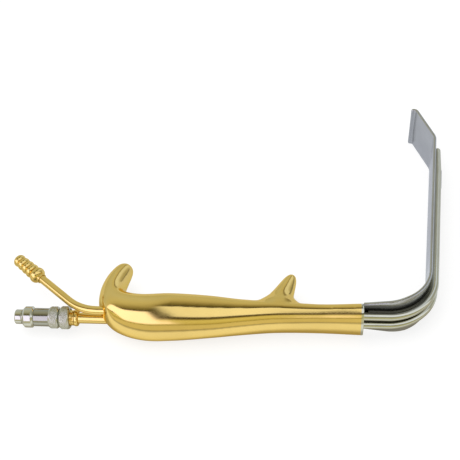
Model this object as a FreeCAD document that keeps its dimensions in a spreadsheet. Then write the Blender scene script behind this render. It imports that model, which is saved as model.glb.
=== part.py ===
# Fiber optic retractor with suction, lying on its side.
# X runs along the handle to the blade, Y is the way the blade points, Z is across the width.
# Every piece is laid out from the middle of the handle's front face, between the two tubes,
# and the whole instrument is then stood on its lowest side, with the origin under its middle.
import FreeCAD, Part
import math
import os
import Sketcher

DIMENSIONS = (
    ("handle_wall", 1.6, "wall of the hollow handle"),
    ("front_plate_thickness", 0.8, "visible thickness of the steel front plate"),
    ("front_plate_spigot", 2.5, "depth of the plate's spigot in the handle"),
    ("spigot_gap", 0.2, "gap round the plate's spigot"),
    ("fit_gap", 0.05, "radial gap of a soldered or pressed seat"),
    ("tube_spacing", 7.5, "distance between the suction and the light tube"),
    ("blade_tube_diameter", 4.6, "outside of the steel tubes"),
    ("blade_tube_bore", 3.8, "inside of the steel tubes"),
    ("rear_tube_diameter", 4.7, "outside of the gold suction tube"),
    ("rear_tube_bore", 3.7, "inside of the gold suction tube"),
    ("tube_exit", 144, "distance from the front face to the place where the tubes leave the handle"),
    ("rear_tube_straight", 3, "straight run behind the handle before the bend"),
    ("rear_tube_radius", 26, "bend radius of the gold suction tube"),
    ("rear_tube_turn", 40, "bend of the gold suction tube, degrees"),
    ("rear_tube_rise", 24, "straight run from the bend to the hose barb"),
    ("coupling_place", 108, "distance from the front face to the tube joints"),
    ("coupling_length", 12, "length of the two sleeves"),
    ("suction_sleeve_diameter", 6.4, "outside of the suction sleeve"),
    ("light_sleeve_diameter", 7.6, "outside of the light sleeve"),
    ("blade_thickness", 1.8, "thickness of the blade"),
    ("blade_width", 29, "width of the blade and lip"),
    ("blade_arch", 1.3, "rise of the blade's middle over its edges"),
    ("neck_width", 22, "width of the neck at the handle"),
    ("neck_straight", 6, "parallel run of the neck before it flares"),
    ("flare_end", 30, "distance from the front face at which the blade is full width"),
    ("flare_hollow", 0.7, "hollow of the flare's edge"),
    ("tang_width", 4, "width of the tang in the handle"),
    ("tang_length", 20, "length of the tang in the handle"),
    ("bend_start", 13.5, "distance from the front face to the blade's bend"),
    ("bend_radius", 23.6, "bend radius at the middle of the blade's thickness"),
    ("bend_turn", 84.9, "angle of the blade's bend, degrees"),
    ("blade_rise", 105.8, "straight run from the bend to the lip"),
    ("lip_radius", 9, "bend radius at the lip"),
    ("lip_turn", 27.1, "angle of the lip, degrees"),
    ("lip_length", 23, "straight run of the lip"),
    ("flange_radius", 1.9, "bend radius at the flange"),
    ("flange_turn", 68, "angle of the flange, degrees"),
    ("flange_length", 1.6, "straight run of the flange"),
    ("flange_corner", 1.3, "corner radius of the flange"),
    ("solder_gap", 0.06, "solder between a tube and the blade"),
    ("suction_tube_rise", 87, "round run of the suction tube along the blade"),
    ("suction_tip_length", 19, "flattened tip of the suction tube"),
    ("suction_tip_height", 3.8, "height of the flattened tip"),
    ("suction_tip_width", 5.6, "width of the flattened tip"),
    ("light_tube_rise", 95, "run of the light tube along the blade"),
    ("light_head_length", 18, "length of the light head"),
    ("light_head_width", 6.6, "width of the light head"),
    ("light_head_height", 5.5, "height of the light head over the blade"),
    ("light_head_crown", 1.6, "crown of the light head's top"),
    ("light_head_relief", 0.3, "clearance between the head's base and the arched blade"),
    ("window_thickness", 0.6, "thickness of the light window"),
    ("fibre_diameter", 3.6, "diameter of the fibre bundle"),
    ("post_diameter", 6.1, "outside of the light post"),
    ("post_length", 42, "length of the light post behind the handle"),
    ("ferrule_length", 3, "length of the inlet ferrule"),
    ("ring_place", 14.4, "distance from the handle to the gold ring"),
    ("ring_length", 2.3, "length of the gold ring"),
    ("ring_diameter", 9.4, "outside of the gold ring"),
    ("collar_visible", 2.3, "length of the collar outside the nut"),
    ("collar_thread", 3.6, "length of the collar's thread in the nut"),
    ("collar_diameter", 8.8, "outside of the threaded collar"),
    ("nut_length", 6.1, "length of the union nut"),
    ("nut_diameter", 13.1, "outside of the union nut"),
    ("nut_web", 1.5, "web at the rear of the nut"),
    ("running_gap", 0.3, "radial gap round the pieces that turn or slide"),
    ("sleeve_diameter", 8, "outside of the adapter's sleeve in the nut"),
    ("retaining_length", 0.7, "length of the retaining ring"),
    ("side_gap", 0.1, "gap beside the nut and the ring"),
    ("grip_length", 5.7, "length of the adapter's knurled grip"),
    ("grip_diameter", 12.5, "outside of the adapter's knurled grip"),
    ("barrel_length", 8.6, "length of the adapter's smooth barrel"),
    ("barrel_diameter", 10.4, "outside of the adapter's smooth barrel"),
    ("flange_disc_length", 6.3, "length of the adapter's flange"),
    ("flange_disc_diameter", 12.1, "outside of the adapter's flange"),
    ("flange_disc_chamfer", 1.2, "chamfer of the adapter's flange"),
    ("groove_length", 0.7, "groove between flange and nipple"),
    ("groove_diameter", 6.8, "bottom of the groove"),
    ("nipple_length", 4, "length of the nipple"),
    ("nipple_diameter", 8.3, "outside of the nipple"),
    ("adapter_bore", 6.5, "bore of the adapter round the light post"),
    ("edge_break", 0.5, "chamfer of turned edges"),
    ("knurl_edge", 0.7, "chamfer of the knurled grips"),
    ("barb_ring_diameter", 5.8, "outside of the barb's collar"),
    ("barb_ring_length", 1.6, "length of the barb's collar"),
    ("barb_neck_diameter", 5.4, "diameter between the barb's beads"),
    ("olive_length", 5.6, "length of the barb's large bead"),
    ("olive_diameter", 9.4, "diameter of the barb's large bead"),
    ("bead_pitch", 3.8, "distance from one bead to the next"),
    ("bead_diameter", 8.4, "diameter of the first small bead"),
    ("bead_taper", 0.3, "loss of diameter from bead to bead"),
    ("bead_count", 4, "number of small beads"),
    ("barb_bore", 3.2, "bore of the barb"),
)

# Cross-sections of the handle from its front face round into the hook. Each is an oval that
# stands across the form: place of its middle, lean, half height and half width.
HANDLE_SECTIONS = (
    ("front", 0, 0.5, 0, 6.6, 11.5),
    ("waist", -24, 0.3, 0, 6.2, 10.5),
    ("finger", -48, 0.8, 0, 7.5, 10.8),
    ("rise", -66, 0.2, 0, 9.0, 11.4),
    ("swell", -84, 0, 0, 11.3, 12.6),
    ("palm", -106, -0.7, 0, 12.6, 14.4),
    ("heel", -122, -1.2, 0, 12.1, 14.2),
    ("nose", -133.7, 2, 20, 10.9, 13.0),
    ("crook", -139.2, 7.7, 46, 9, 11.4),
    ("root", -140.6, 14.8, 69, 7.5, 9.8),
    ("shank", -139.3, 22.8, 87, 6.7, 8.2),
    ("bow", -137.2, 29, 94, 5.9, 6.8),
    ("crown", -135.5, 33.4, 100, 4.4, 4.9),
    ("tip", -134.9, 36.0, 102, 1.4, 1.6),
)
HOLLOW_SECTIONS = ("front", "waist", "finger", "rise", "swell", "palm", "heel")

# Cross-sections of the finger spur, level ovals from inside the handle to its tip.
SPUR_SECTIONS = (
    ("spur_base", -47, 2, 90, 17, 10),
    ("spur_flare", -47.6, 6.5, 90, 15.6, 8.4),
    ("spur_root", -47.4, 9.3, 90, 12.6, 7),
    ("spur_slope", -46.5, 12, 90, 9.3, 6.3),
    ("spur_waist", -45.2, 15, 90, 7, 5.9),
    ("spur_middle", -42.7, 20.5, 90, 5.5, 5.3),
    ("spur_neck", -40.7, 26, 90, 4.1, 4.2),
    ("spur_crown", -39.6, 29.3, 90, 2.5, 2.9),
    ("spur_tip", -39.4, 30.6, 90, 0.9, 1.2),
)

SHEET = "Dimensions"
CUT_MARGIN = 1.0
NEAR_ENOUGH = 0.01
SECTION_STEP = 6.0
OVAL_STEPS = 12
X_AXIS = FreeCAD.Vector(1, 0, 0)
Y_AXIS = FreeCAD.Vector(0, 1, 0)
Z_AXIS = FreeCAD.Vector(0, 0, 1)


class Size:
    """A size as its number and as the expression that ties it to the sheet."""

    def __init__(self, number, text=None):
        self.number = number
        self.text = repr(number) if text is None else text

    @staticmethod
    def of(value):
        return value if isinstance(value, Size) else Size(value)

    def __add__(self, other):
        other = Size.of(other)
        return Size(self.number + other.number, "(%s + %s)" % (self.text, other.text))

    def __sub__(self, other):
        other = Size.of(other)
        return Size(self.number - other.number, "(%s - %s)" % (self.text, other.text))

    def __mul__(self, other):
        other = Size.of(other)
        return Size(self.number * other.number, "(%s * %s)" % (self.text, other.text))

    def __truediv__(self, other):
        other = Size.of(other)
        return Size(self.number / other.number, "(%s / %s)" % (self.text, other.text))

    def __neg__(self):
        return Size(-self.number, "(0 - %s)" % self.text)

    def __radd__(self, other):
        return Size.of(other) + self

    def __rsub__(self, other):
        return Size.of(other) - self

    def __rmul__(self, other):
        return Size.of(other) * self


def root(size):
    return Size(math.sqrt(size.number), "sqrt(%s)" % size.text)


def write_sheet(doc):
    """Put every driving dimension in the sheet, one row each, and return them as sizes."""
    sheet = doc.addObject("Spreadsheet::Sheet", SHEET)
    rows = [(name, number) for name, number, use in DIMENSIONS]
    for name, x, y, lean, half_height, half_width in HANDLE_SECTIONS + SPUR_SECTIONS:
        rows += [(name + "_x", x), (name + "_y", y), (name + "_lean", lean)]
        rows += [(name + "_half_height", half_height), (name + "_half_width", half_width)]
    sizes = {}
    for row, (name, number) in enumerate(rows, start=1):
        sheet.set("A%d" % row, name)
        sheet.set("B%d" % row, str(number))
        sheet.setAlias("B%d" % row, name)
        sizes[name] = Size(float(number), "%s.%s" % (SHEET, name))
    doc.recompute()
    return sizes


class Maker:
    """The document with its sizes, and the few operations that the pieces are made with."""

    def __init__(self, doc):
        self.doc = doc
        self.sizes = write_sheet(doc)
        self.pieces = []

    def __getitem__(self, name):
        return self.sizes[name]

    def number(self, name):
        return self.sizes[name].number

    def bind(self, item, **properties):
        for name, size in properties.items():
            item.setExpression(name, Size.of(size).text)

    def add(self, kind, name, **properties):
        """A solid of the Part workbench whose sizes follow the sheet."""
        item = self.doc.addObject("Part::" + kind, name)
        self.bind(item, **properties)
        return item

    def place(self, item, x=0.0, y=0.0, z=0.0, turn=None):
        item.Placement = FreeCAD.Placement(FreeCAD.Vector(x, y, z), turn or FreeCAD.Rotation())
        return item

    def fuse(self, name, shapes):
        item = self.doc.addObject("Part::MultiFuse", name)
        item.Shapes = shapes
        return item

    def cut(self, name, base, tools):
        tool = tools[0] if len(tools) == 1 else self.fuse(name + "_tools", tools)
        item = self.doc.addObject("Part::Cut", name)
        item.Base = base
        item.Tool = tool
        return item

    def common(self, name, base, tool):
        item = self.doc.addObject("Part::Common", name)
        item.Base = base
        item.Tool = tool
        return item

    def loft(self, name, sections):
        item = self.doc.addObject("Part::Loft", name)
        item.Sections = sections
        item.Solid = True
        item.Ruled = False
        return item

    def rod(self, name, diameter, length, x, y=0.0, z=0.0):
        """A cylinder along X that starts at x."""
        item = self.add("Cylinder", name, Radius=Size.of(diameter) / 2, Height=length)
        return self.place(item, x, y, z, FreeCAD.Rotation(Y_AXIS, 90))

    def piece(self, item, label):
        """Take an object as one of the instrument's pieces."""
        item.Label = label
        self.pieces.append(item)
        return item


def plane_of(body, role):
    for feature in body.Origin.OriginFeatures:
        if feature.Role == role:
            return feature
    raise RuntimeError("the body has no " + role)


def pin_point(sketch, element, end, x, y):
    """Tie one end of a sketch element to the sketch's origin."""
    for kind, axis, size in (("DistanceX", -2, x), ("DistanceY", -1, y)):
        if abs(size.number) < 1e-9:
            sketch.addConstraint(Sketcher.Constraint("PointOnObject", element, end, axis))
        else:
            place = sketch.addConstraint(
                Sketcher.Constraint(kind, -1, 1, element, end, size.number))
            sketch.setExpression("Constraints[%d]" % place, size.text)


def outline(sketch, corners):
    """A closed outline of corners (x, y) or (x, y, rise), where rise bows the edge that follows."""
    points = [tuple(Size.of(value) for value in corner) for corner in corners]
    ends = []
    for here, there in zip(points, points[1:] + points[:1]):
        start = FreeCAD.Vector(here[0].number, here[1].number, 0)
        finish = FreeCAD.Vector(there[0].number, there[1].number, 0)
        if len(here) == 2:
            edge = sketch.addGeometry(Part.LineSegment(start, finish), False)
            ends.append((edge, 1, 2))
            continue
        rise = here[2]
        chord = root((there[0] - here[0]) * (there[0] - here[0])
                     + (there[1] - here[1]) * (there[1] - here[1]))
        size = Size(abs(rise.number), "abs(%s)" % rise.text)
        radius = (chord * chord / 4 + size * size) / (2 * size)
        outward = (finish - start).normalize().cross(Z_AXIS)
        side = 1 if rise.number > 0 else -1
        middle = (start + finish) * 0.5
        centre = middle + outward * (rise.number - side * radius.number)
        arc_ends = (start, finish) if side > 0 else (finish, start)
        angles = [math.atan2(p.y - centre.y, p.x - centre.x) for p in arc_ends]
        if angles[1] < angles[0]:
            angles[1] += 2 * math.pi
        circle = Part.Circle(centre, Z_AXIS, radius.number)
        edge = sketch.addGeometry(Part.ArcOfCircle(circle, angles[0], angles[1]), False)
        place = sketch.addConstraint(Sketcher.Constraint("Radius", edge, radius.number))
        sketch.setExpression("Constraints[%d]" % place, radius.text)
        ends.append((edge, 1, 2) if side > 0 else (edge, 2, 1))
    for index, (edge, first, last) in enumerate(ends):
        before = ends[index - 1]
        sketch.addConstraint(Sketcher.Constraint("Coincident", before[0], before[2], edge, first))
        pin_point(sketch, edge, first, points[index][0], points[index][1])


def turned(maker, label, corners):
    """A turned piece: its half outline, as distance along the axis and radius, spun round X."""
    body = maker.doc.addObject("PartDesign::Body", label)
    sketch = body.newObject("Sketcher::SketchObject", label + "_profile")
    sketch.AttachmentSupport = [(plane_of(body, "XY_Plane"), "")]
    sketch.MapMode = "FlatFace"
    outline(sketch, corners)
    spin = body.newObject("PartDesign::Revolution", label + "_spin")
    spin.Profile = sketch
    spin.ReferenceAxis = (sketch, ["H_Axis"])
    spin.Angle = 360
    body.Tip = spin
    return maker.piece(body, label)


def padded(maker, name, corners, length, role):
    """A straight piece of one outline, padded from a plane of its own body."""
    body = maker.doc.addObject("PartDesign::Body", name)
    sketch = body.newObject("Sketcher::SketchObject", name + "_outline")
    sketch.AttachmentSupport = [(plane_of(body, role), "")]
    sketch.MapMode = "FlatFace"
    outline(sketch, corners)
    pad = body.newObject("PartDesign::Pad", name + "_pad")
    pad.Profile = sketch
    pad.setExpression("Length", Size.of(length).text)
    body.Tip = pad
    return body


def route(maker, name, start, runs):
    """A path that starts along X: straight runs (length,) and tangent bends (radius, turn)."""
    here = FreeCAD.Vector(*start)
    heading = 0.0
    edges = []
    for run in runs:
        ahead = FreeCAD.Vector(math.cos(heading), math.sin(heading), 0)
        if len(run) == 1:
            there = here + ahead * run[0]
            edges.append(Part.LineSegment(here, there).toShape())
        else:
            radius, turn = run[0], math.radians(run[1])
            side = FreeCAD.Vector(-math.sin(heading), math.cos(heading), 0)
            centre = here + side * math.copysign(radius, turn)
            half = here.sub(centre)
            middle = centre + rotated(half, turn / 2)
            there = centre + rotated(half, turn)
            edges.append(Part.Arc(here, middle, there).toShape())
            heading += turn
        here = there
    path = maker.doc.addObject("Part::Feature", name)
    path.Shape = Part.Wire(edges)
    return path, here, math.degrees(heading)


def rotated(vector, angle):
    return FreeCAD.Rotation(Z_AXIS, math.degrees(angle)).multVec(vector)


def swept(maker, name, path, section):
    item = maker.doc.addObject("Part::Sweep", name)
    item.Sections = [section]
    item.Spine = (path, ["Edge%d" % (i + 1) for i in range(len(path.Shape.Edges))])
    item.Solid = True
    item.Frenet = False
    return item


def bent_rod(maker, name, path, diameter):
    """A round bar swept along a path that starts along X."""
    ring = maker.add("Circle", name + "_section", Radius=Size.of(diameter) / 2)
    start = path.Shape.OrderedVertexes[0].Point
    maker.place(ring, start.x, start.y, start.z, FreeCAD.Rotation(Y_AXIS, 90))
    return swept(maker, name, path, ring)


def oval(maker, name, half_width, half_height, x, y):
    """An upright oval across X, its width along Z."""
    item = maker.add("Ellipse", name, MajorRadius=half_width, MinorRadius=half_height)
    across = FreeCAD.Rotation(Z_AXIS, Y_AXIS, -X_AXIS, "XYZ")
    return maker.place(item, x, y, 0, across)


def flowing(sections, step):
    """Add sections between the given ones, each size on a smooth curve through its neighbours."""
    along = [0.0]
    for here, there in zip(sections, sections[1:]):
        along.append(along[-1] + math.hypot(there[0] - here[0], there[1] - here[1]))
    slopes = []
    for index in range(len(sections)):
        low, high = max(index - 1, 0), min(index + 1, len(sections) - 1)
        span = along[high] - along[low]
        slopes.append([(b - a) / span for a, b in zip(sections[low], sections[high])])
    filled = []
    for index in range(len(sections) - 1):
        span = along[index + 1] - along[index]
        count = max(1, round(span / step))
        for part in range(count):
            t = part / count
            weights = (2 * t ** 3 - 3 * t ** 2 + 1, t ** 3 - 2 * t ** 2 + t,
                       -2 * t ** 3 + 3 * t ** 2, t ** 3 - t ** 2)
            filled.append([
                weights[0] * a + weights[1] * span * slope_a + weights[2] * b + weights[3] * span * slope_b
                for a, slope_a, b, slope_b in zip(sections[index], slopes[index],
                                                  sections[index + 1], slopes[index + 1])])
    filled.append(list(sections[-1]))
    return filled


def end_rim(face, end):
    """The edge of a face that joins the two ends of a straight closing edge."""
    corners = [vertex.Point for vertex in end.Vertexes]
    return min(face.Edges, key=lambda edge: sum(
        min(vertex.Point.distanceToPoint(corner) for corner in corners) for vertex in edge.Vertexes))


def half_form(sections, side):
    """Half of a form of oval sections, closed by the middle plane: side is 1 or -1."""
    grid = []
    for x, y, lean, half_height, half_width in flowing(sections, SECTION_STEP):
        middle = FreeCAD.Vector(x, y, 0)
        up = FreeCAD.Rotation(Z_AXIS, -lean).multVec(Y_AXIS)
        angles = [math.pi * (i / OVAL_STEPS - 0.5) for i in range(OVAL_STEPS + 1)]
        grid.append([middle + up * (half_height * math.sin(angle))
                     + Z_AXIS * (side * half_width * math.cos(angle)) for angle in angles])
    skin = Part.BSplineSurface()
    skin.interpolate(grid)
    face = skin.toShape()
    ends = [Part.LineSegment(row[0], row[-1]).toShape() for row in (grid[0], grid[-1])]
    rims = [end_rim(face, end) for end in ends]
    rails = [edge for edge in face.Edges if not any(edge.isSame(rim) for rim in rims)]
    caps = [Part.Face(Part.Wire([rim, end])) for rim, end in zip(rims, ends)]
    seam = Part.Face(Part.Wire(Part.__sortEdges__(rails + ends)))
    solid = Part.makeSolid(Part.makeShell([face, seam] + caps))
    if solid.Volume < 0:
        solid.reverse()
    return solid


def section_values(maker, names, inset=0.0):
    """Numbers of the named cross-sections, set in by the wall for the hollow."""
    rows = []
    for name in names:
        keys = ("_x", "_y", "_lean", "_half_height", "_half_width")
        x, y, lean, half_height, half_width = (maker.number(name + key) for key in keys)
        rows.append((x, y, lean, half_height - inset, half_width - inset))
    return rows


def handle_shell(maker, label, side, bore_diameter):
    """One welded half of the handle: its skin, half of the hook and spur, and one tube's bore."""
    wall = maker.number("handle_wall")
    form = half_form(section_values(maker, [row[0] for row in HANDLE_SECTIONS]), side)
    spur = half_form(section_values(maker, [row[0] for row in SPUR_SECTIONS]), side)
    rows = section_values(maker, HOLLOW_SECTIONS, wall)
    rows.insert(0, (rows[0][0] + CUT_MARGIN,) + rows[0][1:])
    hollow = half_form(rows, side)
    bore_start = maker.number("root_x") - maker.number("root_half_height") - CUT_MARGIN
    bore_end = maker.number("heel_x") + CUT_MARGIN
    bore = Part.makeCylinder(bore_diameter.number / 2 + maker.number("fit_gap"), bore_end - bore_start,
                             FreeCAD.Vector(bore_start, 0, side * maker.number("tube_spacing") / 2), X_AXIS)
    solid = form.fuse(spur).removeSplitter().cut(hollow).cut(bore)
    shell = maker.doc.addObject("Part::Feature", label)
    shell.Shape = solid
    return maker.piece(shell, label)


def handle_shells(maker):
    """The two welded halves of the handle."""
    handle_shell(maker, "handle_left_shell", 1, maker["rear_tube_diameter"])
    handle_shell(maker, "handle_right_shell", -1, maker["post_diameter"])


def front_end_plate(maker):
    """The steel plate that closes the handle, with holes for the tubes and a slot for the tang."""
    inset = maker["handle_wall"] + maker["spigot_gap"]
    cap = maker.doc.addObject("Part::Extrusion", "plate_cap")
    cap.Base = oval(maker, "cap_oval", maker["front_half_width"], maker["front_half_height"],
                    0, maker.number("front_y"))
    spigot = maker.doc.addObject("Part::Extrusion", "plate_spigot")
    spigot.Base = oval(maker, "spigot_oval", maker["front_half_width"] - inset,
                       maker["front_half_height"] - inset, 0, maker.number("front_y"))
    for item, direction, length in ((cap, 1, maker["front_plate_thickness"]),
                                    (spigot, -1, maker["front_plate_spigot"])):
        item.DirMode = "Custom"
        item.Dir = FreeCAD.Vector(direction, 0, 0)
        item.Solid = True
        maker.bind(item, LengthFwd=length)
    depth = maker["front_plate_thickness"] + maker["front_plate_spigot"] + 2 * CUT_MARGIN
    start = -maker.number("front_plate_spigot") - CUT_MARGIN
    side = maker.number("tube_spacing") / 2
    holes = [maker.rod("plate_hole_%d" % i, maker["blade_tube_diameter"] + 2 * maker["fit_gap"],
                       depth, start, 0, z) for i, z in enumerate((side, -side))]
    height = maker["blade_thickness"] + 4 * maker["fit_gap"]
    width = maker["tang_width"] + 4 * maker["fit_gap"]
    slot = maker.add("Box", "tang_slot", Length=depth, Width=height, Height=width)
    maker.place(slot, start, blade_level(maker).number - height.number / 2, -width.number / 2)
    plate = maker.fuse("plate_blank", [cap, spigot])
    maker.piece(maker.cut("front_end_plate", plate, holes + [slot]), "front_end_plate")


def arch_radius(maker):
    half = maker["blade_width"] / 2
    return (half * half + maker["blade_arch"] * maker["blade_arch"]) / (2 * maker["blade_arch"])


def blade_level(maker):
    """Height of the neck's middle over the tubes' axes: the tubes lie under its arched face."""
    radius = arch_radius(maker)
    side = maker["tube_spacing"] / 2
    drop = radius - root(radius * radius - side * side)
    return maker["blade_tube_diameter"] / 2 + maker["solder_gap"] + drop + maker["blade_thickness"] / 2


def blade_section(maker):
    """The arched cross-section of the blade, drawn across the start of its path."""
    half = maker["blade_width"] / 2
    thick = maker["blade_thickness"]
    sketch = maker.doc.addObject("Sketcher::SketchObject", "blade_section")
    outline(sketch, ((0, 0, -maker["blade_arch"]), (2 * half, 0), (2 * half, thick, maker["blade_arch"]),
                     (0, thick)))
    across = FreeCAD.Rotation(Z_AXIS, Y_AXIS, -X_AXIS, "XYZ")
    level = blade_level(maker).number - thick.number / 2 - maker.number("blade_arch")
    return maker.place(sketch, -maker.number("tang_length"), level, -half.number, across)


def neck_plan(maker):
    """The blade seen from its inner face: tang, neck and flare, as a tall keep-block."""
    length = maker["tang_length"]
    front = length + maker["front_plate_thickness"] + maker["fit_gap"]
    parallel = length + maker["neck_straight"]
    full = length + maker["flare_end"]
    far = full + maker["blade_width"]
    middle = maker["blade_width"] / 2
    tang = maker["tang_width"] / 2
    neck = maker["neck_width"] / 2
    hollow = maker["flare_hollow"]
    low = [(0, middle - tang), (front, middle - tang), (front, middle - neck),
           (parallel, middle - neck, -hollow), (full, 0), (far, 0)]
    high = [(x, maker["blade_width"] - y) for x, y, *_ in reversed(low)]
    flare = [corner[0] for corner in high].index(full)
    high[flare] += (-hollow,)
    return low, high


def blade(maker):
    """The blade: an arched strip swept along its side view and trimmed to its plan."""
    start = (-maker.number("tang_length"), blade_level(maker).number, 0)
    path, _, _ = route(maker, "blade_path", start, (
        (maker.number("tang_length") + maker.number("bend_start"),),
        (maker.number("bend_radius"), maker.number("bend_turn")),
        (maker.number("blade_rise"),),
        (maker.number("lip_radius"), maker.number("lip_turn")),
        (maker.number("lip_length"),),
        (maker.number("flange_radius"), maker.number("flange_turn")),
        (maker.number("flange_length"),)))
    strip = swept(maker, "blade_strip", path, blade_section(maker))
    low, high = neck_plan(maker)
    height = maker["bend_radius"] + maker["blade_rise"] + maker["lip_length"] + maker["blade_width"]
    plan = padded(maker, "blade_plan", low + high, height, "XZ_Plane")
    below = maker.number("blade_width") / 2
    maker.place(plan, -maker.number("tang_length"), height.number - below,
                -maker.number("blade_width") / 2)
    trimmed = maker.common("blade_trimmed", strip, plan)
    maker.doc.recompute()
    rounded = maker.doc.addObject("Part::Fillet", "blade")
    rounded.Base = trimmed
    radius = maker.number("flange_corner")
    rounded.Edges = [(index, radius, radius) for index in flange_corners(maker, trimmed.Shape, path)]
    maker.piece(rounded, "blade")


def flange_corners(maker, shape, path):
    """The two short edges across the thickness at the flange's free corners, by their number."""
    end = path.Shape.OrderedVertexes[-1].Point
    half = maker.number("blade_width") / 2
    thickness = maker.number("blade_thickness")
    found = []
    for index, edge in enumerate(shape.Edges, start=1):
        middle = edge.CenterOfMass
        at_side = abs(abs(middle.z) - half) < NEAR_ENOUGH
        at_end = abs(middle.x - end.x) < NEAR_ENOUGH and abs(middle.y - end.y) < 2 * thickness
        if at_side and at_end and abs(edge.Length - thickness) < NEAR_ENOUGH:
            found.append(index)
    return found


def tube_path(maker, name, side, rise):
    """Path of a tube from its sleeve in the handle, under the neck and up the blade."""
    bend = maker.number("bend_radius") + blade_level(maker).number
    start = maker.number("coupling_place")
    return route(maker, name, (-start, 0, side), (
        (start + maker.number("bend_start"),),
        (bend, maker.number("bend_turn")),
        (rise,)))


def blade_suction_tube(maker):
    """The steel suction tube with its flattened, open tip."""
    side = maker.number("tube_spacing") / 2
    path, end, heading = tube_path(maker, "suction_path", side, maker.number("suction_tube_rise"))
    outer = bent_rod(maker, "suction_outer", path, maker["blade_tube_diameter"])
    inner = bent_rod(maker, "suction_inner", path, maker["blade_tube_bore"])
    wall = (maker["blade_tube_diameter"] - maker["blade_tube_bore"]) / 2
    drop = (maker.number("blade_tube_diameter") - maker.number("suction_tip_height")) / 2
    ahead = rotated(X_AXIS, math.radians(heading))
    inward = rotated(Y_AXIS, math.radians(heading))
    across = FreeCAD.Rotation(Z_AXIS, heading).multiply(
        FreeCAD.Rotation(Z_AXIS, Y_AXIS, -X_AXIS, "XYZ"))
    tips = []
    for name, inset, margin in (("tip_outer", 0, 0.0), ("tip_inner", wall, CUT_MARGIN)):
        sections = []
        for step, width, height, along, shift in (
                (0, maker["blade_tube_diameter"], maker["blade_tube_diameter"], 0.0, 0.0),
                (1, maker["suction_tip_width"], maker["suction_tip_height"],
                 maker.number("suction_tip_length") + margin, drop)):
            section = maker.add("Ellipse", "%s_%d" % (name, step), MajorRadius=width / 2 - inset,
                                MinorRadius=height / 2 - inset)
            place = end + ahead * along + inward * shift
            sections.append(maker.place(section, place.x, place.y, place.z, across))
        tips.append(maker.loft(name, sections))
    outside = maker.fuse("suction_outside", [outer, tips[0]])
    maker.piece(maker.cut("blade_suction_tube", outside, [inner, tips[1]]), "blade_suction_tube")


def blade_light_tube(maker):
    """The steel light tube, and the fibres that fill it from the inlet to the window."""
    side = -maker.number("tube_spacing") / 2
    rise = maker.number("light_tube_rise")
    path, end, heading = tube_path(maker, "light_path", side, rise)
    outer = bent_rod(maker, "light_outer", path, maker["blade_tube_diameter"])
    inner = bent_rod(maker, "light_inner", path, maker["blade_tube_bore"])
    maker.piece(maker.cut("blade_light_tube", outer, [inner]), "blade_light_tube")
    bend = maker.number("bend_radius") + blade_level(maker).number
    inlet = maker.number("ferrule_length") + maker.number("post_length") + maker.number("tube_exit")
    fibres, _, _ = route(maker, "fibre_path", (-inlet, 0, side), (
        (inlet + maker.number("bend_start"),),
        (bend, maker.number("bend_turn")),
        (rise,)))
    maker.piece(bent_rod(maker, "fibre_bundle", fibres, maker["fibre_diameter"]), "fibre_bundle")
    return end, heading


def light_head(maker, end, heading):
    """The housing round the light tube's end, and the window over the fibres."""
    head = maker["light_head_length"]
    height = maker["light_head_height"]
    crown = maker["light_head_crown"]
    width = maker["light_head_width"]
    body = padded(maker, "light_head_blank", (
        (0, 0), (height - crown, 0, crown / 4), (height, width / 2, crown / 4),
        (height - crown, width), (0, width)), head, "YZ_Plane")
    turn = FreeCAD.Rotation(Z_AXIS, heading + 180)
    ahead = rotated(X_AXIS, math.radians(heading))
    inward = rotated(Y_AXIS, math.radians(heading))
    base = maker.number("blade_tube_diameter") / 2 - maker.number("light_head_relief")
    seat = end + inward * base + ahead * maker.number("window_thickness")
    maker.place(body, seat.x, seat.y, seat.z - width.number / 2, turn)
    bore = maker.add("Cylinder", "light_head_bore",
                     Radius=maker["blade_tube_diameter"] / 2 + maker["fit_gap"],
                     Height=head + 2 * CUT_MARGIN)
    along = FreeCAD.Rotation(Z_AXIS, heading).multiply(FreeCAD.Rotation(Y_AXIS, 90))
    low = end - ahead * (head.number + CUT_MARGIN - maker.number("window_thickness"))
    maker.place(bore, low.x, low.y, low.z, along)
    maker.piece(maker.cut("light_head", body, [bore]), "light_head")
    window = maker.add("Cylinder", "light_window", Radius=maker["blade_tube_diameter"] / 2,
                       Height=maker["window_thickness"])
    maker.place(window, end.x, end.y, end.z, along)
    maker.piece(window, "light_window")


def rear_suction_tube(maker):
    """The gold suction tube that bends up behind the handle."""
    side = maker.number("tube_spacing") / 2
    start = maker.number("coupling_place")
    straight = maker.number("tube_exit") + maker.number("rear_tube_straight") - start
    path, end, heading = route(maker, "rear_path", (0, 0, 0), (
        (straight,),
        (maker.number("rear_tube_radius"), -maker.number("rear_tube_turn")),
        (maker.number("rear_tube_rise"),)))
    outer = bent_rod(maker, "rear_outer", path, maker["rear_tube_diameter"])
    inner = bent_rod(maker, "rear_inner", path, maker["rear_tube_bore"])
    tube = maker.cut("rear_suction_tube", outer, [inner])
    backwards = FreeCAD.Rotation(Z_AXIS, 180)
    maker.place(tube, -start, 0, side, backwards)
    maker.piece(tube, "rear_suction_tube")
    place = backwards.multVec(end) + FreeCAD.Vector(-start, 0, side)
    return place, heading + 180


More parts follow.
